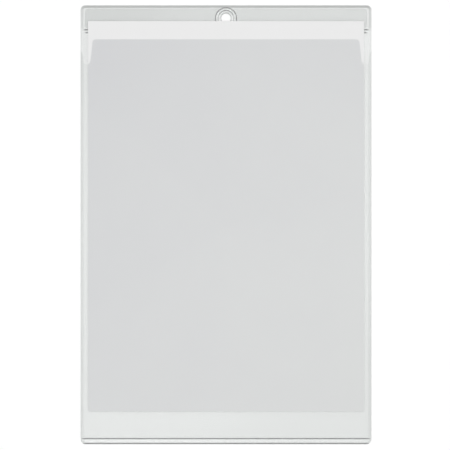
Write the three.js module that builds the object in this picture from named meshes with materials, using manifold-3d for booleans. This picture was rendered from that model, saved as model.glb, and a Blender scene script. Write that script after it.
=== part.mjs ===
// A clear hanging pocket for one A4 sheet: two rigid plastic films welded together, a stiffened header
// with a moulded eyelet, and the white sheet in the pocket.
// The pocket lies on its back. +X is to the right, +Y is towards the header and +Z is out of the front.
// The origin is the middle of the back face. All sizes are in millimetres.

import * as THREE from "three";
import { mergeVertices } from "three/addons/utils/BufferGeometryUtils.js";
import Module from "manifold-3d";

const wasm = await Module();
wasm.setup();

// The sheet that the pocket is made for, and how it lies in it
const insertWidth = 210;
const insertLength = 297;
const insertThickness = 0.2;
const insertSlack = 0.3; // free height on each face of the sheet
const insertSideClearance = 4.2; // from the side weld to the sheet's edge
const insertLift = 20; // from the hem to the sheet's lower edge
const insertTopDrop = 12.2; // from the sleeve's top edge to the sheet's top edge

// Films and welds
const backThickness = 0.5;
const frontThickness = 0.4;
const sideWeldWidth = 1.5;
const stepRun = 1; // width of the slope from a weld up to the pocket's front wall
const topCornerRadius = 3;
const bottomCornerRadius = 4.2;
const edgeBreak = 0.1; // chamfer on the cut edges

// Hem at the bottom: a rolled bead on the weld
const hemWidth = 4.9;
const hemBeadMargin = 0.2; // flat left outside the bead
const hemBeadHeight = 0.55;
const hemBeadFlank = 1.1;

// Header: a raised rim round a stiffening strip
const rimWidth = 1.7;
const rimHeight = 0.3;
const rimLength = 17.6; // how far the rim's two arms come down from the top edge
const stripThickness = 0.4;
const stripTopGap = 0.9; // between the rim and the strip
const stripSideGap = 1.7;
const stripHeight = 15.3;
const stripCornerRadius = 3;

// Two crease lines pressed across the back sheet under the strip
const creaseGap = 0.75; // from the strip's lower edge to the first crease
const creasePitch = 2.2;
const creaseWidth = 0.8;
const creaseDepth = 0.2;
const creaseEndMargins = [1.5, 2.7]; // where the first and the second crease stop short of the edge

// Mouth of the pocket: a tongue with slanted sides between two relief notches
const mouthGap = 5.25; // from the second crease to the mouth's edge
const mouthCornerRadius = 2.3;
const mouthSlant = 2.1; // how much narrower each side of the tongue is at the mouth than at the notch
const notchRadius = 3.2;
const notchDepth = 15.8; // from the mouth's edge to the middle of the notch's round end
const weldEndDrop = 8; // from the mouth's edge to the pointed end of the side weld
const weldEndLength = 4.5;

// Eyelet, staked through the strip and the back sheet
const holeRadius = 3.65;
const barrelRadius = 5.2;
const flangeRadius = 8;
const flangeThickness = 0.45;
const flangeEdgeRadius = 0.2;
const crownWidth = 2.6; // raised ring beside the hole
const crownHeight = 0.3;
const flangeRimGap = 0.25; // between the flange and the header's rim
const stakeFlare = 0.6; // how far the staked end spreads beyond the barrel
const stakeHeight = 0.3;
const barrelClearance = 0.15;

// Smoothness of round forms
const cornerSteps = 8;
const eyeletSteps = 72;
const crownSteps = 12;
const flangeEdgeSteps = 3;
const rimSteps = 4;
const beadSteps = 6;
const bendSteps = 14;

// Places that follow from the sizes
const sleeveWidth = insertWidth + 2 * (insertSideClearance + sideWeldWidth);
const sleeveLength = insertTopDrop + insertLength + insertLift + hemWidth;
const edgeX = sleeveWidth / 2;
const topY = sleeveLength / 2;
const bottomY = -sleeveLength / 2;
const stripTopY = topY - rimWidth - stripTopGap;
const stripBottomY = stripTopY - stripHeight;
const firstCreaseY = stripBottomY - creaseGap;
const secondCreaseY = firstCreaseY - creasePitch;
const mouthY = secondCreaseY - mouthGap;
const eyeletY = topY - rimWidth - flangeRimGap - flangeRadius;
const stripFaceZ = backThickness + stripThickness;
const weldFaceZ = backThickness + frontThickness;
const pocketDepth = insertThickness + 2 * insertSlack;
const wallBackZ = backThickness + pocketDepth;
const wallFaceZ = wallBackZ + frontThickness;
const crownTopZ = stripFaceZ + flangeThickness + crownHeight;
const cutMargin = 5; // how far a cutting body runs past what it cuts

// Colours and finishes
const filmFinish = { transparent: true, opacity: 0.35, roughness: 0.2, metalness: 0 };
const backFilm = new THREE.MeshStandardMaterial({ color: 0xdde0df, ...filmFinish });
const frontFilm = new THREE.MeshStandardMaterial({ color: 0xd4d7d7, ...filmFinish });
const stripFilm = new THREE.MeshStandardMaterial({ color: 0xd0d3d1, ...filmFinish });
const mouldedPlastic = new THREE.MeshStandardMaterial({ color: 0xc8cbca, ...filmFinish });
const whitePaper = new THREE.MeshStandardMaterial({ color: 0xeaeaea, roughness: 0.85, metalness: 0 });

// Turns a closed geometry into a solid that can be joined and cut
function solidFrom(geometry) {
  const bare = geometry.clone();
  bare.deleteAttribute("normal");
  bare.deleteAttribute("uv");
  const merged = mergeVertices(bare, 1e-5);
  return new wasm.Manifold(
    new wasm.Mesh({
      numProp: 3,
      vertProperties: new Float32Array(merged.attributes.position.array),
      triVerts: new Uint32Array(merged.index.array),
    }),
  );
}

// Turns a solid into a named mesh with its material
function meshFrom(solid, name, material) {
  const made = solid.getMesh();
  const geometry = new THREE.BufferGeometry();
  geometry.setAttribute("position", new THREE.BufferAttribute(made.vertProperties, 3));
  geometry.setIndex(new THREE.BufferAttribute(made.triVerts, 1));
  geometry.computeVertexNormals();
  const mesh = new THREE.Mesh(geometry, material);
  mesh.name = name;
  return mesh;
}

// A flat plate of the given outline between two heights, with its edges broken by a chamfer
function plate(outline, lowZ, highZ, chamfer = 0) {
  const geometry = new THREE.ExtrudeGeometry(outline, {
    depth: highZ - lowZ - 2 * chamfer,
    bevelEnabled: chamfer > 0,
    bevelThickness: chamfer,
    bevelSize: chamfer,
    bevelOffset: -chamfer,
    bevelSegments: 1,
    curveSegments: cornerSteps,
  });
  geometry.translate(0, 0, lowZ + chamfer);
  return solidFrom(geometry);
}

// A bar along X whose section is drawn with Y and Z
function barAlongX(section, length) {
  const geometry = new THREE.ExtrudeGeometry(section, {
    depth: length,
    bevelEnabled: false,
    curveSegments: beadSteps,
  });
  // Extruding runs along the section's third axis, so the axes are passed round: X to Y, Y to Z, Z to X
  geometry.applyMatrix4(new THREE.Matrix4().set(0, 0, 1, -length / 2, 1, 0, 0, 0, 0, 1, 0, 0, 0, 0, 0, 1));
  return solidFrom(geometry);
}

// A rounded rectangle across the whole width or less, with its own radius at the top and at the bottom
function roundedOutline(halfWidth, lowY, highY, lowRadius, highRadius) {
  const shape = new THREE.Shape();
  shape.moveTo(-halfWidth + lowRadius, lowY);
  shape.lineTo(halfWidth - lowRadius, lowY);
  shape.absarc(halfWidth - lowRadius, lowY + lowRadius, lowRadius, -Math.PI / 2, 0, false);
  shape.lineTo(halfWidth, highY - highRadius);
  shape.absarc(halfWidth - highRadius, highY - highRadius, highRadius, 0, Math.PI / 2, false);
  shape.lineTo(-halfWidth + highRadius, highY);
  shape.absarc(-halfWidth + highRadius, highY - highRadius, highRadius, Math.PI / 2, Math.PI, false);
  shape.lineTo(-halfWidth, lowY + lowRadius);
  shape.absarc(-halfWidth + lowRadius, lowY + lowRadius, lowRadius, Math.PI, 1.5 * Math.PI, false);
  return shape;
}

// A body whose outline changes from one height to the next, between two outlines with as many points
function loft(lowOutline, lowZ, highOutline, highZ) {
  const low = lowOutline.getPoints(cornerSteps);
  const high = highOutline.getPoints(cornerSteps);
  if (low[0].equals(low[low.length - 1])) {
    low.pop();
    high.pop();
  }
  const count = low.length;
  const positions = [];
  low.forEach((point) => positions.push(point.x, point.y, lowZ));
  high.forEach((point) => positions.push(point.x, point.y, highZ));
  const indices = [];
  for (let i = 0; i < count; i += 1) {
    const next = (i + 1) % count;
    indices.push(i, next, count + next);
    indices.push(i, count + next, count + i);
  }
  THREE.ShapeUtils.triangulateShape(low, []).forEach(([a, b, c]) => {
    indices.push(c, b, a);
  });
  THREE.ShapeUtils.triangulateShape(high, []).forEach(([a, b, c]) => {
    indices.push(count + a, count + b, count + c);
  });
  const geometry = new THREE.BufferGeometry();
  geometry.setAttribute("position", new THREE.Float32BufferAttribute(positions, 3));
  geometry.setIndex(indices);
  return solidFrom(geometry);
}

// A body of revolution about the eyelet's axis, from a profile of radius and height
function turned(profile) {
  const points = profile.map(([radius, height]) => new THREE.Vector2(radius, height));
  const geometry = new THREE.LatheGeometry(points, eyeletSteps);
  geometry.rotateX(Math.PI / 2);
  geometry.translate(0, eyeletY, 0);
  return solidFrom(geometry);
}

// The hole that the eyelet's barrel and its staked end pass through, with clearance all round
function eyeletCutter() {
  const hole = barrelRadius + barrelClearance;
  return turned([
    [0, -cutMargin],
    [hole + stakeFlare, -cutMargin],
    [hole + stakeFlare, 0],
    [hole, stakeHeight],
    [hole, cutMargin],
    [0, cutMargin],
  ]);
}

// The raised rim: one arm down each side of the header and a bar along its top edge
function headerRim() {
  const outerRadius = topCornerRadius;
  const innerRadius = Math.max(topCornerRadius - rimWidth, edgeBreak);
  const innerX = edgeX - rimWidth;
  const innerY = topY - rimWidth;
  const endY = topY - rimLength;
  const rootZ = backThickness / 2; // the rim starts inside the film
  const outline = new THREE.Shape();
  outline.moveTo(edgeX, endY);
  outline.lineTo(edgeX, topY - outerRadius);
  outline.absarc(edgeX - outerRadius, topY - outerRadius, outerRadius, 0, Math.PI / 2, false);
  outline.lineTo(-edgeX + outerRadius, topY);
  outline.absarc(-edgeX + outerRadius, topY - outerRadius, outerRadius, Math.PI / 2, Math.PI, false);
  outline.lineTo(-edgeX, endY);
  outline.lineTo(-innerX, endY);
  outline.lineTo(-innerX, innerY - innerRadius);
  outline.absarc(-innerX + innerRadius, innerY - innerRadius, innerRadius, Math.PI, Math.PI / 2, true);
  outline.lineTo(innerX - innerRadius, innerY);
  outline.absarc(innerX - innerRadius, innerY - innerRadius, innerRadius, Math.PI / 2, 0, true);
  outline.lineTo(innerX, endY);
  const geometry = new THREE.ExtrudeGeometry(outline, {
    depth: backThickness - rootZ,
    bevelEnabled: true,
    bevelThickness: rimHeight,
    bevelSize: rimHeight,
    bevelOffset: -rimHeight,
    bevelSegments: rimSteps,
    curveSegments: cornerSteps,
  });
  geometry.translate(0, 0, rootZ);
  return solidFrom(geometry);
}

// One crease: a shallow V pressed into the front of the back sheet
function crease(y, endMargin) {
  const section = new THREE.Shape();
  section.moveTo(y - creaseWidth, backThickness + creaseDepth);
  section.lineTo(y, backThickness - creaseDepth);
  section.lineTo(y + creaseWidth, backThickness + creaseDepth);
  return barAlongX(section, sleeveWidth - 2 * endMargin);
}

// The rear film with its rim, creases and eyelet hole
function backSheet() {
  const outline = roundedOutline(edgeX, bottomY, topY, bottomCornerRadius, topCornerRadius);
  return plate(outline, 0, backThickness, edgeBreak)
    .add(headerRim())
    .subtract(crease(firstCreaseY, creaseEndMargins[0]))
    .subtract(crease(secondCreaseY, creaseEndMargins[1]))
    .subtract(eyeletCutter());
}

// The second layer of the header
function headerStrip() {
  const halfWidth = edgeX - rimWidth - stripSideGap;
  const outline = roundedOutline(halfWidth, stripBottomY, stripTopY, stripCornerRadius, stripCornerRadius);
  return plate(outline, backThickness, stripFaceZ, edgeBreak).subtract(eyeletCutter());
}

// The front film's outline, with the tongue of the mouth between its two notches
function frontOutline() {
  const notchX = edgeX - sideWeldWidth - notchRadius;
  const notchY = mouthY - notchDepth;
  const tongueLowX = notchX - notchRadius;
  const tongueHighX = tongueLowX - mouthSlant;
  const slant = new THREE.Vector2(mouthSlant, -notchDepth).normalize();
  // The mouth's corner is an arc that touches the mouth's edge and the slanted side
  const turn = Math.PI / 2 + Math.atan2(mouthSlant, notchDepth);
  const reach = mouthCornerRadius / Math.tan(turn / 2);
  const arcX = tongueHighX - reach;
  const arcY = mouthY - mouthCornerRadius;
  const sideAngle = Math.atan2(mouthSlant, notchDepth);
  const weldEndY = mouthY - weldEndDrop;
  const weldX = edgeX - sideWeldWidth;
  const cornerX = edgeX - bottomCornerRadius;
  const cornerY = bottomY + bottomCornerRadius;
  const shape = new THREE.Shape();
  shape.moveTo(-cornerX, bottomY);
  shape.lineTo(cornerX, bottomY);
  shape.absarc(cornerX, cornerY, bottomCornerRadius, -Math.PI / 2, 0, false);
  shape.lineTo(edgeX, weldEndY);
  shape.lineTo(weldX, weldEndY - weldEndLength);
  shape.lineTo(weldX, notchY);
  shape.absarc(notchX, notchY, notchRadius, 0, -Math.PI, true);
  shape.lineTo(tongueHighX + slant.x * reach, mouthY + slant.y * reach);
  shape.absarc(arcX, arcY, mouthCornerRadius, sideAngle, Math.PI / 2, false);
  shape.lineTo(-arcX, mouthY);
  shape.absarc(-arcX, arcY, mouthCornerRadius, Math.PI / 2, Math.PI - sideAngle, false);
  shape.lineTo(-tongueLowX, notchY);
  shape.absarc(-notchX, notchY, notchRadius, 0, -Math.PI, true);
  shape.lineTo(-weldX, weldEndY - weldEndLength);
  shape.lineTo(-edgeX, weldEndY);
  shape.lineTo(-edgeX, cornerY);
  shape.absarc(-cornerX, cornerY, bottomCornerRadius, Math.PI, 1.5 * Math.PI, false);
  return shape;
}

// The space between the films, grown by an amount, from its wide foot at the weld to its narrower roof
function pocketSpace(footZ, roofZ) {
  const footX = edgeX - sideWeldWidth;
  const footY = bottomY + hemWidth;
  const endY = mouthY + cutMargin;
  const cornerRadius = bottomCornerRadius;
  const foot = roundedOutline(footX, footY, endY, cornerRadius, cornerRadius);
  const roof = roundedOutline(footX - stepRun, footY + stepRun, endY, cornerRadius, cornerRadius);
  return loft(foot, footZ, roof, roofZ);
}

// The rolled bead on the hem
function hemBead() {
  const lowY = bottomY + hemBeadMargin;
  const highY = bottomY + hemWidth;
  const topZ = weldFaceZ + hemBeadHeight;
  const rootZ = backThickness + frontThickness / 2; // the bead starts inside the film
  // The two handles that make each flank steep at its foot and level at its top
  const footHandle = hemBeadFlank / 4;
  const topHandle = hemBeadFlank / 2;
  const section = new THREE.Shape();
  section.moveTo(lowY, rootZ);
  section.lineTo(highY, rootZ);
  section.lineTo(highY, weldFaceZ);
  section.bezierCurveTo(highY - footHandle, topZ, highY - topHandle, topZ, highY - hemBeadFlank, topZ);
  section.lineTo(lowY + hemBeadFlank, topZ);
  section.bezierCurveTo(lowY + topHandle, topZ, lowY + footHandle, topZ, lowY, weldFaceZ);
  return barAlongX(section, sleeveWidth);
}

// The front film: a flange on the welds, a slope and the raised wall of the pocket, cut to its outline
function frontSheet() {
  const outline = frontOutline();
  const blank = plate(outline, backThickness, weldFaceZ);
  const trim = plate(outline, 0, wallFaceZ + cutMargin);
  const outer = pocketSpace(weldFaceZ, wallFaceZ).intersect(trim);
  const inner = pocketSpace(backThickness, wallBackZ);
  return blank.add(hemBead().intersect(trim)).add(outer).subtract(inner);
}

// The clear moulded eyelet, turned in one piece
function eyelet() {
  const flangeFaceZ = stripFaceZ + flangeThickness;
  const crown = [];
  for (let i = 0; i <= crownSteps; i += 1) {
    const angle = Math.PI * (1 - i / crownSteps);
    const radius = holeRadius + (crownWidth / 2) * (1 + Math.cos(angle));
    crown.push([radius, flangeFaceZ + crownHeight * Math.sin(angle)]);
  }
  const rounding = [];
  for (let i = 0; i <= flangeEdgeSteps; i += 1) {
    const angle = (Math.PI / 2) * (1 - i / flangeEdgeSteps);
    rounding.push([
      flangeRadius - flangeEdgeRadius + flangeEdgeRadius * Math.cos(angle),
      flangeFaceZ - flangeEdgeRadius + flangeEdgeRadius * Math.sin(angle),
    ]);
  }
  return turned([
    [holeRadius, 0],
    ...crown,
    ...rounding,
    [flangeRadius, stripFaceZ],
    [barrelRadius, stripFaceZ],
    [barrelRadius, stakeHeight],
    [barrelRadius + stakeFlare, 0],
    [holeRadius, 0],
  ].reverse());
}

// The loose sheet: flat in the pocket, and lifted over the eyelet by a gentle double bend
function insertSheet() {
  const lowY = bottomY + hemWidth + insertLift;
  const highY = topY - insertTopDrop;
  const bendHighY = eyeletY - holeRadius - crownWidth;
  const lowZ = backThickness + insertSlack;
  const rise = crownTopZ + insertSlack - lowZ;
  const line = [[lowY, lowZ]];
  for (let i = 0; i <= bendSteps; i += 1) {
    const share = i / bendSteps;
    line.push([mouthY + (bendHighY - mouthY) * share, lowZ + (rise * (1 - Math.cos(Math.PI * share))) / 2]);
  }
  line.push([highY, lowZ + rise]);
  const section = new THREE.Shape();
  line.forEach(([y, z], i) => {
    if (i === 0) section.moveTo(y, z);
    else section.lineTo(y, z);
  });
  line.reverse().forEach(([y, z]) => section.lineTo(y, z + insertThickness));
  return barAlongX(section, insertWidth);
}

const sleeve = new THREE.Group();
sleeve.name = "document_sleeve";
sleeve.add(meshFrom(backSheet(), "back_sheet", backFilm));
sleeve.add(meshFrom(frontSheet(), "front_sheet", frontFilm));
sleeve.add(meshFrom(headerStrip(), "header_strip", stripFilm));
sleeve.add(meshFrom(eyelet(), "eyelet", mouldedPlastic));
sleeve.add(meshFrom(insertSheet(), "insert_sheet", whitePaper));

export default sleeve;
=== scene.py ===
import math
import bmesh
import bpy
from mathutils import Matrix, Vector, noise


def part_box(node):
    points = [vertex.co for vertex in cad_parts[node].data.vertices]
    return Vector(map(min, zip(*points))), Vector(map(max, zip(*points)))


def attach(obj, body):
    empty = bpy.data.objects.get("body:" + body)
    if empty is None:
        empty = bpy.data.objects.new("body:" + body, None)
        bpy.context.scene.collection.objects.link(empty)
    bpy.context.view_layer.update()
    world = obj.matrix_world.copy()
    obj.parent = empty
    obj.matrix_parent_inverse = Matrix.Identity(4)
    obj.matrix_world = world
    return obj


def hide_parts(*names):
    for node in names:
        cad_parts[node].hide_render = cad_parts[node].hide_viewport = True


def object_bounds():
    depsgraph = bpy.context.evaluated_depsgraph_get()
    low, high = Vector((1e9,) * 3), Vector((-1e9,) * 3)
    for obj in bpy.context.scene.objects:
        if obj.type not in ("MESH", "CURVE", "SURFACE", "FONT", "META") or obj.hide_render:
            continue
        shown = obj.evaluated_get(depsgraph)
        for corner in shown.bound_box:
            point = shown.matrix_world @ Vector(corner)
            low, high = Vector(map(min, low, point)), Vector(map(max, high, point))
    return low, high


# Clear hanging sleeve with its white sheet, lying on a white table and seen from straight above.
# All sizes are metres, written as millimetres times mm.
mm = 0.001

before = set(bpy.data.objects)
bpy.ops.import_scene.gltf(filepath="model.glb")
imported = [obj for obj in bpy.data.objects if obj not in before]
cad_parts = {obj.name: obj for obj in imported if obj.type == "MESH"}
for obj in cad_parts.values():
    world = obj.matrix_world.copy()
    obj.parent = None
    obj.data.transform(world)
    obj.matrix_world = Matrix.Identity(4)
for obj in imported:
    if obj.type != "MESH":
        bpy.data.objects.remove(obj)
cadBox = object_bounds()
sleeveLow, sleeveHigh = cadBox
backLow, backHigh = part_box("back_sheet")
frontLow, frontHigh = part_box("front_sheet")
stripLow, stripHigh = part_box("header_strip")
eyeletLow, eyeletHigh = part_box("eyelet")
insertLow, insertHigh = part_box("insert_sheet")
halfWidth = backHigh.x
topY, bottomY = backHigh.y, backLow.y
backFaceZ = frontLow.z  # front face of the back film
eyeletCentre = (eyeletLow + eyeletHigh) / 2
print("scene: frame loaded")


# Node helpers

def addNode(tree, kind, inputs, **settings):
    # A number or a colour is set on the input itself, and a socket is linked to it
    node = tree.nodes.new(kind)
    for key, value in settings.items():
        setattr(node, key, value)
    for key, value in inputs.items():
        if isinstance(value, bpy.types.NodeSocket):
            tree.links.new(value, node.inputs[key])
        elif isinstance(value, tuple):
            node.inputs[key].default_value = (*value, 1.0)
        else:
            node.inputs[key].default_value = value
    return node


def mathNode(tree, operation, *values):
    return addNode(tree, "ShaderNodeMath", dict(enumerate(values)), operation=operation).outputs[0]


def mathChain(tree, operation, first, *others):
    total = first
    for value in others:
        total = mathNode(tree, operation, total, value)
    return total


def rangeNode(tree, value, fromLow, fromHigh, toLow, toHigh):
    inputs = {
        "Value": value,
        "From Min": fromLow, "From Max": fromHigh,
        "To Min": toLow, "To Max": toHigh,
    }
    return addNode(tree, "ShaderNodeMapRange", inputs, clamp=True).outputs["Result"]


def objectPlace(tree):
    # Patterns are laid out in Object coordinates
    coordinates = addNode(tree, "ShaderNodeTexCoord", {})
    place = addNode(tree, "ShaderNodeSeparateXYZ", {0: coordinates.outputs["Object"]})
    return place.outputs["X"], place.outputs["Y"], place.outputs["Z"]


def noiseNode(tree, scale, detail, roughness=0.5):
    coordinates = addNode(tree, "ShaderNodeTexCoord", {})
    inputs = {
        "Vector": coordinates.outputs["Object"],
        "Scale": scale, "Detail": detail, "Roughness": roughness,
    }
    return addNode(tree, "ShaderNodeTexNoise", inputs).outputs["Fac"]


def bumpNode(tree, height, strength, depth, below=None):
    # A bump laid over another one takes that one's normal from below
    node = addNode(tree, "ShaderNodeBump", {"Height": height, "Strength": strength, "Distance": depth})
    if below is not None:
        tree.links.new(below, node.inputs["Normal"])
    return node.outputs["Normal"]


def mixColour(tree, share, first, second, clamp=True):
    inputs = {"Factor": share, "A": first, "B": second}
    return addNode(tree, "ShaderNodeMix", inputs, data_type="RGBA", clamp_factor=clamp).outputs["Result"]


def mixShader(tree, share, first, second):
    return addNode(tree, "ShaderNodeMixShader", {0: share, 1: first, 2: second}).outputs[0]


def newMaterial(name):
    material = bpy.data.materials.new(name)
    material.use_nodes = True
    material.node_tree.nodes.clear()
    return material, material.node_tree


# Clear film. Each face that a ray passes lets "passes" through and adds a little haze.
# Slopes get a painted shade: a darker edge tone mixed in by which way a face slopes, standing in for
# light and shade.

clearFilm = {
    "toneFrom": 0.1, "toneFull": 0.35,  # how level a face is where its tone starts and where it is full
    "darkFade": 0.4 * mm,
    "grainDetail": 2.0, "grainDepth": 0.02 * mm, "grainLow": 0.3, "grainHigh": 0.7,
    "waveDetail": 1.0, "waveDepth": 0.4 * mm,
    "hazeSpread": 0.15, "hazeRoughness": 0.5, "shadeRoughness": 0.35,
    "plasticIor": 1.5, "shineIor": 1.45,
}


def paintedSlopeShade(tree, look):
    # How much painted shade a face gets, from the way it slopes and faces
    geometry = addNode(tree, "ShaderNodeNewGeometry", {})
    normal = addNode(tree, "ShaderNodeSeparateXYZ", {0: geometry.outputs["Normal"]})
    x, y, z = objectPlace(tree)
    sideways = mathNode(tree, "ABSOLUTE", normal.outputs["X"])
    # Seen from behind a face turns its normal round, so it is turned back
    turn = mathNode(tree, "MULTIPLY", geometry.outputs["Backfacing"], 2.0)
    upright = mathNode(tree, "MULTIPLY", normal.outputs["Y"], mathNode(tree, "SUBTRACT", 1.0, turn))
    up = mathNode(tree, "MAXIMUM", upright, 0.0)
    down = mathNode(tree, "MULTIPLY", mathNode(tree, "MINIMUM", upright, 0.0), -1.0)
    # Slopes that face down the sleeve get painted shade only below one line across it
    darkEnd = look["darkBelow"] + clearFilm["darkFade"]
    nearEdge = rangeNode(tree, y, look["darkBelow"], darkEnd, 1.0, 0.0)
    down = mathNode(tree, "MULTIPLY", down, nearEdge)
    level = mathNode(tree, "ABSOLUTE", normal.outputs["Z"])
    steep = mathNode(tree, "SUBTRACT", 1.0, level)
    slopes = ((sideways, "sideShade"), (up, "upShade"), (down, "downShade"), (steep, "steepShade"))
    tones = [mathNode(tree, "MULTIPLY", amount, look[key]) for amount, key in slopes]
    if "sideShadeWidth" in look:
        # A band down each side gets a little painted shade
        outward = mathNode(tree, "ABSOLUTE", x)
        inSideShade = mathNode(tree, "GREATER_THAN", outward, halfWidth - look["sideShadeWidth"])
        tones.append(mathNode(tree, "MULTIPLY", inSideShade, look["sideShadeTone"]))
    total = mathChain(tree, "ADD", *tones)
    # Upright walls get no painted shade, so only slopes and edges draw painted shade lines
    slopeOnly = rangeNode(tree, level, clearFilm["toneFrom"], clearFilm["toneFull"], 0.0, 1.0)
    return mathNode(tree, "MINIMUM", mathNode(tree, "MULTIPLY", total, slopeOnly), look["mostShade"])


def paintedSheetShade(tree, sheetShade, grain):
    # Over the sheet the film is painted darker and bluer towards the top left, a painted fall of light,
    # with random clouds and fine grain
    x, y, z = objectPlace(tree)
    across = mathNode(tree, "MULTIPLY", x, sheetShade["paintedShadeLeft"])
    upwards = mathNode(tree, "MULTIPLY", y, sheetShade["paintedShadeTop"])
    cloud = noiseNode(tree, sheetShade["cloudScale"], sheetShade["cloudDetail"])
    clouds = mathNode(tree, "MULTIPLY", cloud, sheetShade["cloudShare"])
    specks = mathNode(tree, "MULTIPLY", mathNode(tree, "SUBTRACT", grain, 0.5), sheetShade["speck"])
    slant = mathNode(tree, "SUBTRACT", across, upwards)
    share = mathChain(tree, "ADD", slant, sheetShade["start"], clouds, specks)
    return mixColour(tree, share, sheetShade["top"], sheetShade["low"], clamp=False)


def passedLight(tree, look, grain):
    # The share of light that a face lets through, in red, green and blue
    if "under" in look:
        # The moulding's lower end passes less light than its flange
        x, y, z = objectPlace(tree)
        below = mathNode(tree, "LESS_THAN", z, look["underZ"])
        return mixColour(tree, below, look["passes"], look["under"])
    if "sheetShade" in look:
        # Over the sheet the film lets less light through than at the margins, where the two films lie
        # against each other: painted shade on the sheet under the film
        sheetShade = look["sheetShade"]
        x, y, z = objectPlace(tree)
        inside = mathNode(tree, "LESS_THAN", mathNode(tree, "ABSOLUTE", x), sheetShade["halfWidth"])
        above = mathNode(tree, "GREATER_THAN", y, sheetShade["lowY"])
        mask = mathNode(tree, "MULTIPLY", inside, above)
        return mixColour(tree, mask, look["passes"], paintedSheetShade(tree, sheetShade, grain))
    return look["passes"]


def plasticShader(tree, colour, roughness, normal=None):
    inputs = {"Base Color": colour, "Roughness": roughness, "IOR": clearFilm["plasticIor"]}
    node = addNode(tree, "ShaderNodeBsdfPrincipled", inputs)
    if normal is not None:
        tree.links.new(normal, node.inputs["Normal"])
    return node.outputs[0]


def shineShare(tree, look):
    # Only the outer side of a face shines: a ray that leaves the film isn't mirrored inside it
    geometry = addNode(tree, "ShaderNodeNewGeometry", {})
    outer = mathNode(tree, "SUBTRACT", 1.0, geometry.outputs["Backfacing"])
    fresnel = addNode(tree, "ShaderNodeFresnel", {"IOR": clearFilm["shineIor"]})
    shine = mathChain(tree, "MULTIPLY", fresnel.outputs[0], look["shine"], outer)
    if "hemShine" in look:
        # The rolled hem is smoother than the grained film
        x, y, z = objectPlace(tree)
        onHem = mathNode(tree, "LESS_THAN", y, look["hemTop"])
        boost = mathNode(tree, "ADD", mathNode(tree, "MULTIPLY", onHem, look["hemShine"]), 1.0)
        shine = mathNode(tree, "MULTIPLY", shine, boost)
    return shine


def filmMaterial(name, look):
    material, tree = newMaterial(name)
    grain = noiseNode(tree, look["grainScale"], clearFilm["grainDetail"])
    wave = noiseNode(tree, look["waveScale"], clearFilm["waveDetail"])
    fine = bumpNode(tree, grain, look["grainStrength"], clearFilm["grainDepth"])
    normal = bumpNode(tree, wave, look["waveStrength"], clearFilm["waveDepth"], below=fine)
    clear = addNode(tree, "ShaderNodeBsdfTransparent", {"Color": passedLight(tree, look, grain)})
    haze = plasticShader(tree, look["haze"], clearFilm["hazeRoughness"], normal)
    leastHaze = look["hazeShare"] * (1 - clearFilm["hazeSpread"])
    mostHaze = look["hazeShare"] * (1 + clearFilm["hazeSpread"])
    hazeShare = rangeNode(tree, grain, clearFilm["grainLow"], clearFilm["grainHigh"],
                          leastHaze, mostHaze)
    body = mixShader(tree, hazeShare, clear.outputs[0], haze)
    # Painted shade: dark plastic mixed in on slopes and edges
    edge = plasticShader(tree, look["edge"], clearFilm["shadeRoughness"])
    toned = mixShader(tree, paintedSlopeShade(tree, look), body, edge)
    glossInputs = {"Color": (1, 1, 1), "Roughness": look["gloss"], "Normal": normal}
    gloss = addNode(tree, "ShaderNodeBsdfGlossy", glossInputs)
    finished = mixShader(tree, shineShare(tree, look), toned, gloss.outputs[0])
    addNode(tree, "ShaderNodeOutputMaterial", {"Surface": finished})
    return material


# Mesh helpers

mergeDistance = 1e-7
samePlace = 1e-6
smoothAngle = math.radians(30)
levelNormal = 0.9999  # faces more level than this are shaded flat
cornerSegments = 10
alongX, alongY = Vector((1, 0, 0)), Vector((0, 1, 0))


def finishPiece(name, bm, node, material):
    bmesh.ops.remove_doubles(bm, verts=bm.verts[:], dist=mergeDistance)
    mesh = bpy.data.meshes.new(name)
    bm.to_mesh(mesh)
    bm.free()
    mesh.materials.append(material)
    piece = bpy.data.objects.new(name, mesh)
    bpy.context.scene.collection.objects.link(piece)
    mesh.shade_smooth()
    mesh.set_sharp_from_angle(angle=smoothAngle)
    for face in mesh.polygons:
        face.use_smooth = abs(face.normal.z) < levelNormal
    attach(piece, "root")
    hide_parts(node)


def meshObject(bm):
    bmesh.ops.recalc_face_normals(bm, faces=bm.faces[:])
    mesh = bpy.data.meshes.new("blank")
    bm.to_mesh(mesh)
    bm.free()
    thing = bpy.data.objects.new("blank", mesh)
    bpy.context.scene.collection.objects.link(thing)
    return thing


def booleanOf(bm, tools):
    # tools is a list of (operation, bmesh); the result comes back as one bmesh
    base = meshObject(bm)
    cutters = []
    for operation, toolMesh in tools:
        cutter = meshObject(toolMesh)
        cutters.append(cutter)
        modifier = base.modifiers.new("cut", "BOOLEAN")
        modifier.operation = operation
        modifier.object = cutter
        modifier.solver = "EXACT"
    evaluated = base.evaluated_get(bpy.context.evaluated_depsgraph_get())
    result = bmesh.new()
    result.from_mesh(evaluated.to_mesh())
    evaluated.to_mesh_clear()
    for thing in [base, *cutters]:
        data = thing.data
        bpy.data.objects.remove(thing)
        bpy.data.meshes.remove(data)
    return result


def roundOff(bm, items, radius, segments, affect, clamp=False):
    bmesh.ops.bevel(bm, geom=items, offset=radius, offset_type="OFFSET", segments=segments, profile=0.5,
                    affect=affect, clamp_overlap=clamp, material=-1)


def roundedFace(bm, low, high, z, lowRadius, highRadius):
    # One flat face with round corners, between its low and its high corner
    verts = bmesh.ops.create_grid(bm, x_segments=1, y_segments=1, size=0.5)["verts"]
    middle = (low[1] + high[1]) / 2
    bmesh.ops.scale(bm, vec=(high[0] - low[0], high[1] - low[1], 1), verts=verts)
    bmesh.ops.translate(bm, vec=((low[0] + high[0]) / 2, middle, z), verts=verts)
    lowCorners = [vert for vert in verts if vert.co.y < middle]
    highCorners = [vert for vert in verts if vert.co.y > middle]
    for corners, radius in ((lowCorners, lowRadius), (highCorners, highRadius)):
        if radius:
            roundOff(bm, corners, radius, cornerSegments, "VERTICES")
    return max(bm.faces, key=lambda face: face.calc_area())


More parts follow.
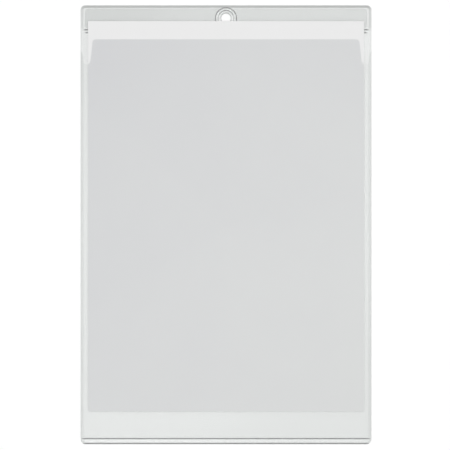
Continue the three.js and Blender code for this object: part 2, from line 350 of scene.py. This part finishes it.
def thicken(bm, thickness):
    # Gives a flat or stepped sheet its other face and returns that face's vertices
    made = bmesh.ops.extrude_face_region(bm, geom=bm.faces[:], use_keep_orig=True)
    verts = [item for item in made["geom"] if isinstance(item, bmesh.types.BMVert)]
    bmesh.ops.translate(bm, vec=(0, 0, thickness), verts=verts)
    return verts


def roundedPlate(low, high, lowRadius, highRadius):
    bm = bmesh.new()
    roundedFace(bm, low, high, low[2], lowRadius, highRadius)
    thicken(bm, high[2] - low[2])
    return bm


def cutAt(bm, direction, place, faces=None):
    # Draws a line of edges across the mesh, or across some of its faces
    if faces is None:
        geometry = bm.verts[:] + bm.edges[:] + bm.faces[:]
    else:
        corners = dict.fromkeys(item for face in faces for item in (*face.verts, *face.edges))
        geometry = [*corners, *faces]
    bmesh.ops.bisect_plane(bm, geom=geometry, plane_co=direction * place, plane_no=direction)


def openBelow(bm, facesDown=-0.05):
    # A film that lies on the next one has no face of its own there, which also keeps the pile within
    # the eight clear faces that Cycles lets a ray pass
    bmesh.ops.recalc_face_normals(bm, faces=bm.faces[:])
    under = [face for face in bm.faces if face.normal.z < facesDown]
    bmesh.ops.delete(bm, geom=under, context="FACES")


def spinProfile(bm, profile, steps=96):
    # A turned shell from radius and height points, about the eyelet's axis
    centre = Vector((eyeletCentre.x, eyeletCentre.y, 0))
    verts = [bm.verts.new(centre + Vector((radius, 0, height))) for radius, height in profile]
    edges = [bm.edges.new(pair) for pair in zip(verts, verts[1:])]
    bmesh.ops.spin(bm, geom=verts + edges, cent=centre, axis=(0, 0, 1), angle=2 * math.pi, steps=steps,
                   use_merge=True)
    bmesh.ops.remove_doubles(bm, verts=bm.verts[:], dist=mergeDistance)


def discCutter(radius, lowZ=-2 * mm, highZ=4 * mm):
    bm = bmesh.new()
    spinProfile(bm, [(0, lowZ), (radius, lowZ), (radius, highZ), (0, highZ)])
    return bm


# Back film: full-size sheet with the header's sloped rim, two creases and the eyelet hole

backFilm = {
    "cornerTop": 3.6 * mm, "cornerBottom": 4.2 * mm, "hole": 5.85 * mm,
    "rimWidth": 1.9 * mm, "rimSlope": 1.66 * mm, "rimHeight": 0.3 * mm, "rimLength": 17.6 * mm,
    "crestRun": 0.12 * mm, "crestRise": 0.03 * mm,
    "creases": (  # drop from the top edge, distance from the side, depth
        (18.65 * mm, 1.5 * mm, 0.23 * mm),
        (20.87 * mm, 2.7 * mm, 0.22 * mm),
    ),
    "creaseHalf": 0.38 * mm, "creaseRamp": 1.9 * mm,
    "look": {
        "passes": (0.929, 0.933, 0.931), "haze": (0.6, 0.62, 0.61), "hazeShare": 0.01,
        # Painted shade: the edge colour is mixed in on slopes and edges, by the side, up, down and steep
        # amounts below
        "edge": (0.10, 0.105, 0.10), "gloss": 0.12, "shine": 0.35,
        "grainScale": 1500, "grainStrength": 0.1, "waveScale": 14, "waveStrength": 0.05,
        "sideShade": 0.20, "upShade": 1.1, "downShade": 1.6, "steepShade": 0.3, "mostShade": 0.8,
        # A band down each side gets a little painted shade
        "darkBelow": 149.0 * mm, "sideShadeWidth": 1.0 * mm, "sideShadeTone": 0.015,
    },
}


def buildRim(film, spare=6 * mm, past=1 * mm, cutHeight=2 * mm):
    # A slope that rises from the edge, a narrow crest and a steep inner side, open towards the pocket
    bm = bmesh.new()
    endY = topY - film["rimLength"]
    low = (-halfWidth, endY - spare)
    face = roundedFace(bm, low, (halfWidth, topY), backFaceZ, 0, film["cornerTop"])
    steps = (
        (film["rimSlope"], film["rimHeight"]),
        (film["crestRun"], film["crestRise"]),
        (film["rimWidth"] - film["rimSlope"] - film["crestRun"], -film["rimHeight"] - film["crestRise"]),
    )
    for run, rise in steps:
        bmesh.ops.inset_region(bm, faces=[face], thickness=run, depth=rise, use_even_offset=True,
                               use_boundary=True)
    for vert in thicken(bm, 0):
        vert.co.z = backFaceZ / 2  # the foot sinks into the film that it is joined to
    # The spare length is cut off again, so that the sides end square
    tail = roundedPlate((low[0] - past, low[1] - past, 0), (halfWidth + past, endY, cutHeight), 0, 0)
    return booleanOf(bm, [("DIFFERENCE", tail)])


def buildBackFilm(film):
    bm = bmesh.new()
    roundedFace(bm, (-halfWidth, bottomY), (halfWidth, topY), backFaceZ, film["cornerBottom"],
                film["cornerTop"])
    # Crease lines: cuts across the face, whose middle line then sinks
    for drop, end, depth in film["creases"]:
        for y in (topY - drop - film["creaseHalf"], topY - drop, topY - drop + film["creaseHalf"]):
            cutAt(bm, alongY, y)
        for inset in (end, end + film["creaseRamp"]):
            cutAt(bm, alongX, inset - halfWidth)
            cutAt(bm, alongX, halfWidth - inset)
    thicken(bm, -backFaceZ)
    for drop, end, depth in film["creases"]:
        for vert in bm.verts:
            inside = halfWidth - end - abs(vert.co.x)
            onLine = vert.co.z > backFaceZ / 2 and abs(vert.co.y - (topY - drop)) < samePlace
            if onLine and inside > samePlace:
                vert.co.z -= depth * min(inside / film["creaseRamp"], 1)
    rim = buildRim(film)
    bm = booleanOf(bm, [("UNION", rim), ("DIFFERENCE", discCutter(film["hole"]))])
    bmesh.ops.recalc_face_normals(bm, faces=bm.faces[:])
    material = filmMaterial("backFilmClear", film["look"])
    finishPiece("backFilm", bm, "back_sheet", material)


# Header strip: second layer with round corners and a softened edge

# The eyelet's flange is pressed onto it, so it is drawn up to the flange's rim only
stripFilm = {
    "corner": 3.0 * mm, "edgeRound": 0.18 * mm, "edgeSegments": 3, "hole": 8.15 * mm,
    "look": {
        "passes": (0.910, 0.914, 0.912), "haze": (0.6, 0.62, 0.61), "hazeShare": 0.01,
        # Painted shade: the edge colour is mixed in on slopes and edges, by the side, up, down and steep
        # amounts below
        "edge": (0.12, 0.125, 0.12), "gloss": 0.12, "shine": 0.2,
        "grainScale": 1500, "grainStrength": 0.1, "waveScale": 20, "waveStrength": 0.05,
        "sideShade": 0.15, "upShade": 0.2, "downShade": 0.0, "steepShade": 0.1, "mostShade": 0.6,
        "darkBelow": -1.0,  # below the sleeve, so nowhere
    },
}


def buildHeaderStrip(film):
    bm = roundedPlate(stripLow, stripHigh, film["corner"], film["corner"])
    bmesh.ops.recalc_face_normals(bm, faces=bm.faces[:])
    sharp = [edge for edge in bm.edges if edge.is_manifold and edge.calc_face_angle(0) > smoothAngle]
    topZ = stripHigh.z - samePlace
    topEdges = [edge for edge in sharp if min(vert.co.z for vert in edge.verts) > topZ]
    roundOff(bm, topEdges, film["edgeRound"], film["edgeSegments"], "EDGES", clamp=True)
    bm = booleanOf(bm, [("DIFFERENCE", discCutter(film["hole"]))])
    openBelow(bm)
    material = filmMaterial("stripFilmClear", film["look"])
    finishPiece("headerStrip", bm, "header_strip", material)


# Eyelet: turned ring with a crowned lip, a flat flange and a staked end, open where it sits on the films

eyeletRing = {
    "hole": 3.65 * mm, "stakedEnd": 5.8 * mm, "flange": 8.3 * mm, "flangeThickness": 0.45 * mm,
    "edgeSlope": 0.6 * mm, "crown": 6.2 * mm, "crownHeight": 0.25 * mm, "crownFlank": 0.8 * mm,
    "flankSteps": 6, "flankPower": 1.3,
    "look": {
        "passes": (0.96, 0.963, 0.962), "under": (0.905, 0.910, 0.908), "underZ": 0.1 * mm,
        "haze": (0.7, 0.71, 0.71), "hazeShare": 0.01,
        # Painted shade: the edge colour is mixed in on slopes and edges, by the side, up, down and steep
        # amounts below
        "edge": (0.10, 0.105, 0.105), "gloss": 0.08, "shine": 0.35,
        "grainScale": 900, "grainStrength": 0.05, "waveScale": 60, "waveStrength": 0.03,
        "sideShade": 0.0, "upShade": 1.3, "downShade": 0.6, "steepShade": 2.3, "mostShade": 0.62,
        "darkBelow": 1.0,  # above the sleeve, so everywhere
    },
}


def buildEyelet(ring):
    flangeZ = stripHigh.z + ring["flangeThickness"]
    profile = [(ring["stakedEnd"], 0), (ring["hole"], 0)]
    # The crown's inner flank climbs from the hole, and its outer flank falls to the flange
    for start, way in ((ring["hole"], 1), (ring["crown"], -1)):
        flank = []
        for i in range(ring["flankSteps"] + 1):
            share = i / ring["flankSteps"]
            lift = math.sin(share * math.pi / 2) ** ring["flankPower"]
            radius = start + way * ring["crownFlank"] * share
            flank.append((radius, flangeZ + ring["crownHeight"] * lift))
        profile += flank[::way]
    profile += [(ring["flange"] - ring["edgeSlope"], flangeZ), (ring["flange"], stripHigh.z)]
    bm = bmesh.new()
    spinProfile(bm, profile)
    bmesh.ops.recalc_face_normals(bm, faces=bm.faces[:])
    # The shell is open, so its crown tells whether it came out inside out
    top = max(bm.faces, key=lambda face: face.calc_center_median().z)
    if top.normal.z < 0:
        bmesh.ops.reverse_faces(bm, faces=bm.faces[:])
    material = filmMaterial("eyeletClear", ring["look"])
    finishPiece("eyeletRing", bm, "eyelet", material)


# Front film: weld flange, stepped pocket wall, rolled hem and the mouth with its notches

frontFilm = {
    "weld": 1.5 * mm, "hem": 4.64 * mm, "corner": 4.2 * mm, "thickness": 0.4 * mm,
    "step": ((0.2, 0.08), (0.3, 0.42), (0.3, 0.42), (0.2, 0.08)),  # shares of run and rise
    "stepRun": 1.0 * mm,
    "beadMargin": 0.2 * mm, "beadHeight": 0.55 * mm, "beadPower": 0.8,
    "beadLowFlank": 1.32 * mm, "beadHighFlank": 0.88 * mm, "beadCuts": 9,
    "beadEnd": 0.6 * mm, "beadTaper": 3.2 * mm, "taperCuts": 6,
    "notchRadius": 2.7 * mm, "notchDepth": 16.3 * mm, "notchInset": 0.5 * mm, "notchSegments": 12,
    "slant": 2.1 * mm, "mouthCorner": 2.3 * mm, "weldEndDrop": 8.0 * mm, "weldEndLength": 4.5 * mm,
    "look": {
        "passes": (0.977, 0.980, 0.978), "haze": (0.6, 0.62, 0.62), "hazeShare": 0.004,
        # Painted shade: the edge colour is mixed in on slopes and edges, by the side, up, down and steep
        # amounts below
        "edge": (0.09, 0.095, 0.095), "gloss": 0.22, "shine": 0.15,
        "grainScale": 1100, "grainStrength": 0.25, "waveScale": 9, "waveStrength": 0.08,
        "sideShade": 0.07, "upShade": 0.84, "downShade": 1.03, "steepShade": 0.05, "mostShade": 0.85,
        # A band down each side gets a little painted shade
        "darkBelow": bottomY + 2.0 * mm, "sideShadeWidth": 1.45 * mm, "sideShadeTone": 0.055,
        "hemTop": bottomY + 4.8 * mm, "hemShine": 5.0,
        # Painted shade on the sheet under the film: the film lets less light through over the sheet
        "sheetShade": {
            "halfWidth": insertHigh.x - 0.1 * mm, "lowY": insertLow.y + 0.1 * mm,
            "top": (0.877, 0.882, 0.889), "low": (0.906, 0.913, 0.910), "start": 0.1,
            # Painted fall of light: darker and bluer towards the top left
            "paintedShadeLeft": 2.4, "paintedShadeTop": 1.6, "speck": 2.2,
            "cloudScale": 12.0, "cloudDetail": 3.0, "cloudShare": 0.8,
        },
    },
}


def beadRise(x, y, film):
    # Height of the rolled hem above the weld; it runs out towards both ends
    low, high = bottomY + film["beadMargin"], bottomY + film["hem"]
    across = min((y - low) / film["beadLowFlank"], (high - y) / film["beadHighFlank"], 1)
    along = min((halfWidth - abs(x) - film["beadEnd"]) / film["beadTaper"], 1)
    if across <= 0 or along <= 0:
        return 0.0
    roundness = math.sin(across * math.pi / 2) ** film["beadPower"]
    return film["beadHeight"] * roundness * math.sin(along * math.pi / 2)


def mouthCutter(film, past=4 * mm, above=12 * mm, height=6 * mm):
    # Everything above the mouth: the outline of the tongue between its two notches
    mouthY = frontHigh.y
    weldEndY = mouthY - film["weldEndDrop"]
    notchLowY = mouthY - film["notchDepth"] - film["notchRadius"]
    notchX = halfWidth - film["weld"] - film["notchInset"]
    tongueX = notchX - 2 * film["notchRadius"]
    notchRound = film["notchRadius"] * 0.999  # a hair less, so that the two quarter rounds don't meet
    half = [
        (halfWidth + past, mouthY + above, 0),
        (halfWidth + past, weldEndY, 0),
        (halfWidth, weldEndY, 0),
        (notchX, weldEndY - film["weldEndLength"], 0),
        (notchX, notchLowY, notchRound),
        (tongueX, notchLowY, notchRound),
        (tongueX - film["slant"], mouthY, film["mouthCorner"]),
    ]
    outline = half + [(-x, y, radius) for x, y, radius in reversed(half)]
    bm = bmesh.new()
    verts = [bm.verts.new((x, y, 0)) for x, y, radius in outline]
    bm.faces.new(verts)
    for vert, (x, y, radius) in zip(verts, outline):
        if radius:
            roundOff(bm, [vert], radius, film["notchSegments"], "VERTICES")
    thicken(bm, height)
    return bm


def buildFrontFilm(film, spare=10 * mm):
    bm = bmesh.new()
    weldZ = frontLow.z + film["thickness"]
    wallRise = frontHigh.z - weldZ
    high = (halfWidth, frontHigh.y + spare)
    wall = roundedFace(bm, (-halfWidth, bottomY), high, weldZ, film["corner"], film["corner"])
    bmesh.ops.inset_region(bm, faces=[wall], thickness=film["weld"], use_even_offset=True,
                           use_boundary=True)
    for vert in wall.verts:
        if vert.co.y < 0:
            vert.co.y += film["hem"] - film["weld"]
    for run, lift in film["step"]:
        bmesh.ops.inset_region(bm, faces=[wall], thickness=run * film["stepRun"], depth=lift * wallRise,
                               use_even_offset=True)
    # Lines of edges for the hem's bead, closest on its two flanks and where it runs out
    beadLowY, beadHighY = bottomY + film["beadMargin"], bottomY + film["hem"]
    cutAt(bm, alongY, beadLowY)
    cutAt(bm, alongY, beadHighY)
    for i in range(1, film["beadCuts"] + 1):
        share = i / film["beadCuts"]
        cutAt(bm, alongY, beadLowY + film["beadLowFlank"] * share)
        cutAt(bm, alongY, beadHighY - film["beadHighFlank"] * share)
    for i in range(film["taperCuts"] + 1):
        x = halfWidth - film["beadEnd"] - film["beadTaper"] * i / film["taperCuts"]
        for side in (-x, x):
            hemFaces = [face for face in bm.faces if face.calc_center_median().y < beadHighY]
            cutAt(bm, alongX, side, hemFaces)
    under = set(thicken(bm, -film["thickness"]))
    for vert in bm.verts:
        if vert not in under and vert.co.y < beadHighY - mergeDistance:
            vert.co.z += beadRise(vert.co.x, vert.co.y, film)
    bm = booleanOf(bm, [("DIFFERENCE", mouthCutter(film))])
    openBelow(bm)
    material = filmMaterial("frontFilmClear", film["look"])
    finishPiece("frontFilm", bm, "front_sheet", material)


# Insert: an A4 sheet, flat in the pocket and lifted over the eyelet by a gentle double bend

insertSheet = {
    "across": 42, "along": 150, "thickness": 0.2 * mm, "bendTop": 16.2 * mm,
    "ripple": 0.03 * mm, "rippleX": 18, "rippleY": 14, "rippleSeed": 3,
    "look": {
        "low": (0.80, 0.80, 0.80), "high": (0.83, 0.83, 0.83),
        "fibreScale": 2200, "fibreDetail": 4.0, "fibreRoughness": 0.6, "fibreShare": 0.6,
        "cloudScale": 60, "cloudDetail": 2.0, "cloudShare": 0.4,
        "bump": 0.15, "bumpDepth": 0.02 * mm, "roughness": 0.85, "ior": 1.45, "specular": 0.25,
    },
}


def paperMaterial(name, look):
    material, tree = newMaterial(name)
    fibre = noiseNode(tree, look["fibreScale"], look["fibreDetail"], look["fibreRoughness"])
    cloud = noiseNode(tree, look["cloudScale"], look["cloudDetail"])
    fibres = mathNode(tree, "MULTIPLY", fibre, look["fibreShare"])
    clouds = mathNode(tree, "MULTIPLY", cloud, look["cloudShare"])
    paper = addNode(tree, "ShaderNodeBsdfPrincipled", {
        "Base Color": mixColour(tree, mathNode(tree, "ADD", fibres, clouds), look["low"], look["high"]),
        "Normal": bumpNode(tree, fibre, look["bump"], look["bumpDepth"]),
        "Roughness": look["roughness"], "IOR": look["ior"], "Specular IOR Level": look["specular"],
    })
    addNode(tree, "ShaderNodeOutputMaterial", {"Surface": paper.outputs[0]})
    return material


def buildInsertSheet(sheet):
    bm = bmesh.new()
    grid = bmesh.ops.create_grid(bm, x_segments=sheet["across"], y_segments=sheet["along"], size=0.5)
    span = insertHigh - insertLow
    centre = (insertHigh + insertLow) / 2
    bmesh.ops.scale(bm, vec=(span.x, span.y, 1), verts=grid["verts"])
    bmesh.ops.translate(bm, vec=(centre.x, centre.y, insertLow.z), verts=grid["verts"])
    lift = span.z - sheet["thickness"]
    bendLow, bendHigh = frontHigh.y, topY - sheet["bendTop"]
    for vert in bm.verts:
        share = min(max((vert.co.y - bendLow) / (bendHigh - bendLow), 0), 1)
        ripplePlace = (vert.co.x * sheet["rippleX"], vert.co.y * sheet["rippleY"], sheet["rippleSeed"])
        vert.co.z += lift * (1 - math.cos(math.pi * share)) / 2
        vert.co.z += sheet["ripple"] * noise.noise(Vector(ripplePlace))
    thicken(bm, sheet["thickness"])
    bmesh.ops.recalc_face_normals(bm, faces=bm.faces[:])
    material = paperMaterial("whitePaper", sheet["look"])
    finishPiece("insertSheet", bm, "insert_sheet", material)


buildBackFilm(backFilm)
buildHeaderStrip(stripFilm)
buildEyelet(eyeletRing)
buildFrontFilm(frontFilm)
buildInsertSheet(insertSheet)
print("scene: pieces made")


# Table, light and camera

studio = {
    "floorSize": 4.0, "floorColour": (1.0, 1.0, 1.0), "floorGap": 0.02 * mm,
    "worldLevel": 0.2, "lampSize": 1.8, "lampHeight": 2.4, "lampPower": 57.6,
    "lamps": (  # name, direction from the sleeve, share of the power
        ("keyLamp", (0.12, -0.1, 1.0), 0.55),
        ("fillLamp", (-0.12, 0.14, 1.0), 0.45),
    ),
    "lens": 100, "sensor": 36,
    # The photo is 450 pixels wide, and the sleeve's centre lies at this pixel from its top left
    "photoWidth": 450, "scale": 0.7607 * mm, "sleeveCentrePixel": (226.02, 224.8),
}


def buildFloor(room):
    bm = bmesh.new()
    bmesh.ops.create_grid(bm, x_segments=1, y_segments=1, size=room["floorSize"] / 2)
    mesh = bpy.data.meshes.new("floor")
    bm.to_mesh(mesh)
    bm.free()
    floor = bpy.data.objects.new("floor", mesh)
    floor.location.z = sleeveLow.z - room["floorGap"]
    material, tree = newMaterial("whiteTable")
    surface = addNode(tree, "ShaderNodeBsdfDiffuse", {"Color": room["floorColour"]})
    addNode(tree, "ShaderNodeOutputMaterial", {"Surface": surface.outputs[0]})
    mesh.materials.append(material)
    bpy.context.scene.collection.objects.link(floor)


def buildLight(room):
    world = bpy.data.worlds.new("studio")
    bpy.context.scene.world = world
    world.use_nodes = True
    background = world.node_tree.nodes["Background"]
    background.inputs["Color"].default_value = (1, 1, 1, 1)
    background.inputs["Strength"].default_value = room["worldLevel"]
    for name, direction, share in room["lamps"]:
        data = bpy.data.lights.new(name, "AREA")
        data.shape = "SQUARE"
        data.size = room["lampSize"]
        data.energy = room["lampPower"] * share
        lamp = bpy.data.objects.new(name, data)
        lamp.location = Vector(direction) * room["lampHeight"] / direction[2]
        lamp.rotation_mode = "QUATERNION"
        lamp.rotation_quaternion = lamp.location.to_track_quat("Z", "Y")
        bpy.context.scene.collection.objects.link(lamp)


def buildCamera(room):
    # Straight above, at the distance from which the photo's width covers what it shows
    data = bpy.data.cameras.new("camera")
    data.lens = room["lens"]
    data.sensor_width = room["sensor"]
    camera = bpy.data.objects.new("camera", data)
    distance = room["photoWidth"] * room["scale"] * room["lens"] / room["sensor"]
    offX, offY = (pixel - room["photoWidth"] / 2 for pixel in room["sleeveCentrePixel"])
    camera.location = (-offX * room["scale"], offY * room["scale"], distance + sleeveHigh.z / 2)
    bpy.context.scene.collection.objects.link(camera)
    bpy.context.scene.camera = camera


buildFloor(studio)
buildLight(studio)
buildCamera(studio)
bpy.context.scene.view_settings.view_transform = "Standard"
print("scene: table, light and camera made")
